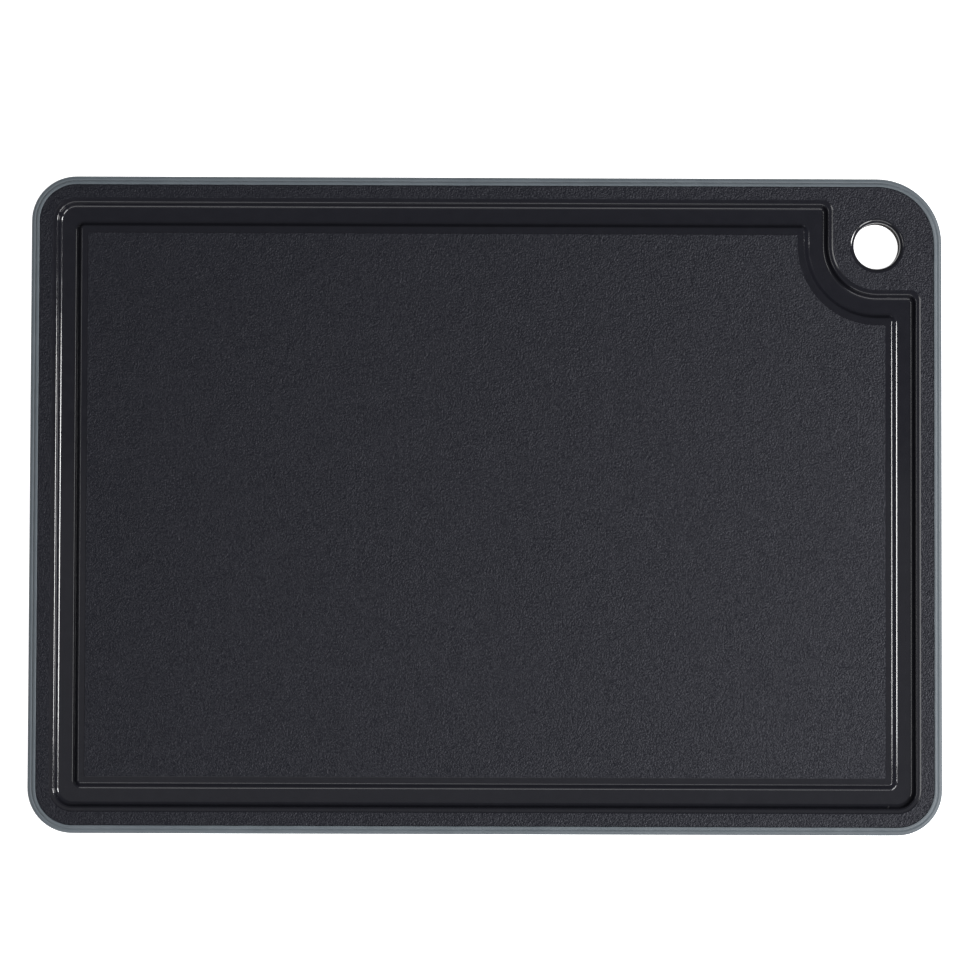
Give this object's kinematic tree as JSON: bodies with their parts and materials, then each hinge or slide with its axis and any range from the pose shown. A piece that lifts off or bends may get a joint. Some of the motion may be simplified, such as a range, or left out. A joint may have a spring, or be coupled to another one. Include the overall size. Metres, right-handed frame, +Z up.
{
  "type": "cutting board",
  "caption": "Moulded plastic cutting board with a juice groove round its edge, a hanging hole in one corner and a soft grip rim.",
  "frame": {"origin": "middle of the board, on the plane that its underside rim rests on", "axes": "+X along the length, +Y across the width towards the corner with the hanging hole (at +X, +Y), +Z up out of the grooved face"},
  "size_m": [0.368, 0.265, 0.0096],
  "materials": {
    "core_plastic": "charcoal polypropylene, fine moulded grain on the land and the field, polished groove",
    "rim_elastomer": "slate grey soft-touch elastomer, satin"
  },
  "bodies": {
    "root": {"board_core": "core_plastic", "grip_rim": "rim_elastomer"}
  },
  "joints": []
}
